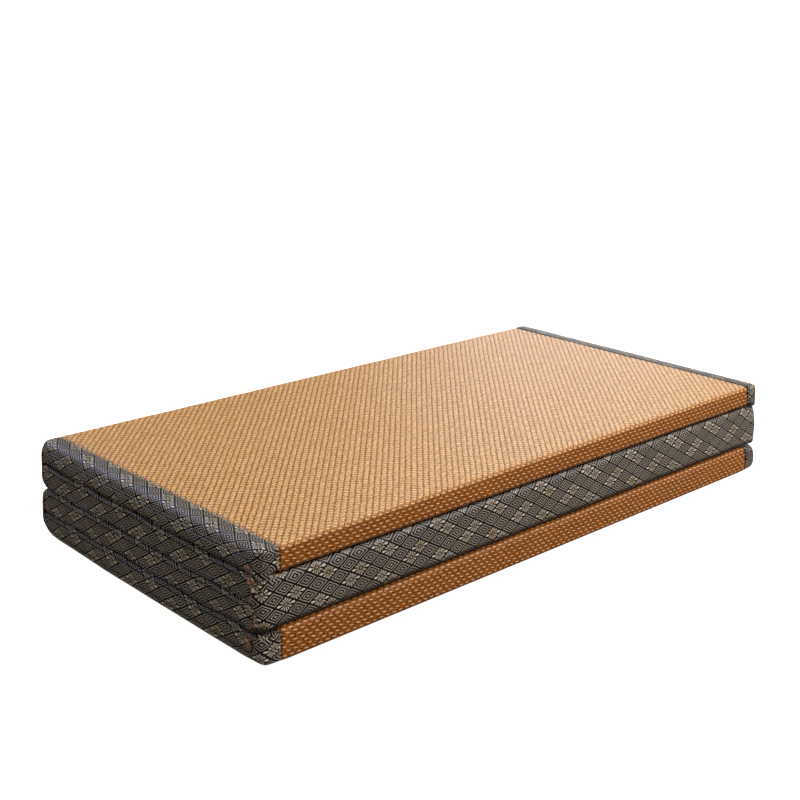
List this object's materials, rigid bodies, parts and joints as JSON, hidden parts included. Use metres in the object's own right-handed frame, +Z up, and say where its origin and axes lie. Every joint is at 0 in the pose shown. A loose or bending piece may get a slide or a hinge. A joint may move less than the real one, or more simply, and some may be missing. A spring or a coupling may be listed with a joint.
{
  "type": "folding tatami mat",
  "caption": "Padded floor mat faced with a woven mat and bound in dark brocade, folded back and forth on its cloth hinges into a flat stack.",
  "frame": {"origin": "middle of the base, on the surface that the folded mat rests on", "axes": "+X along the folds, +Y from the front (where two panels end in the woven mat) to the back, +Z up"},
  "size_m": [0.9062, 0.4664, 0.1319],
  "materials": {
    "woven_mat": "matt to satin woven rush",
    "brocade": "matt woven brocade with a slight sheen"
  },
  "bodies": {
    "root": {"panel_1": "woven_mat", "panel_2": "woven_mat", "panel_3": "woven_mat", "panel_4": "woven_mat", "end_binding_1_left": "brocade", "end_binding_1_right": "brocade", "end_binding_2_left": "brocade", "end_binding_2_right": "brocade", "end_binding_3_left": "brocade", "end_binding_3_right": "brocade", "end_binding_4_left": "brocade", "end_binding_4_right": "brocade", "hinge_strip_front": "brocade", "hinge_strip_back_upper": "brocade", "hinge_strip_back_lower": "brocade"}
  },
  "joints": []
}
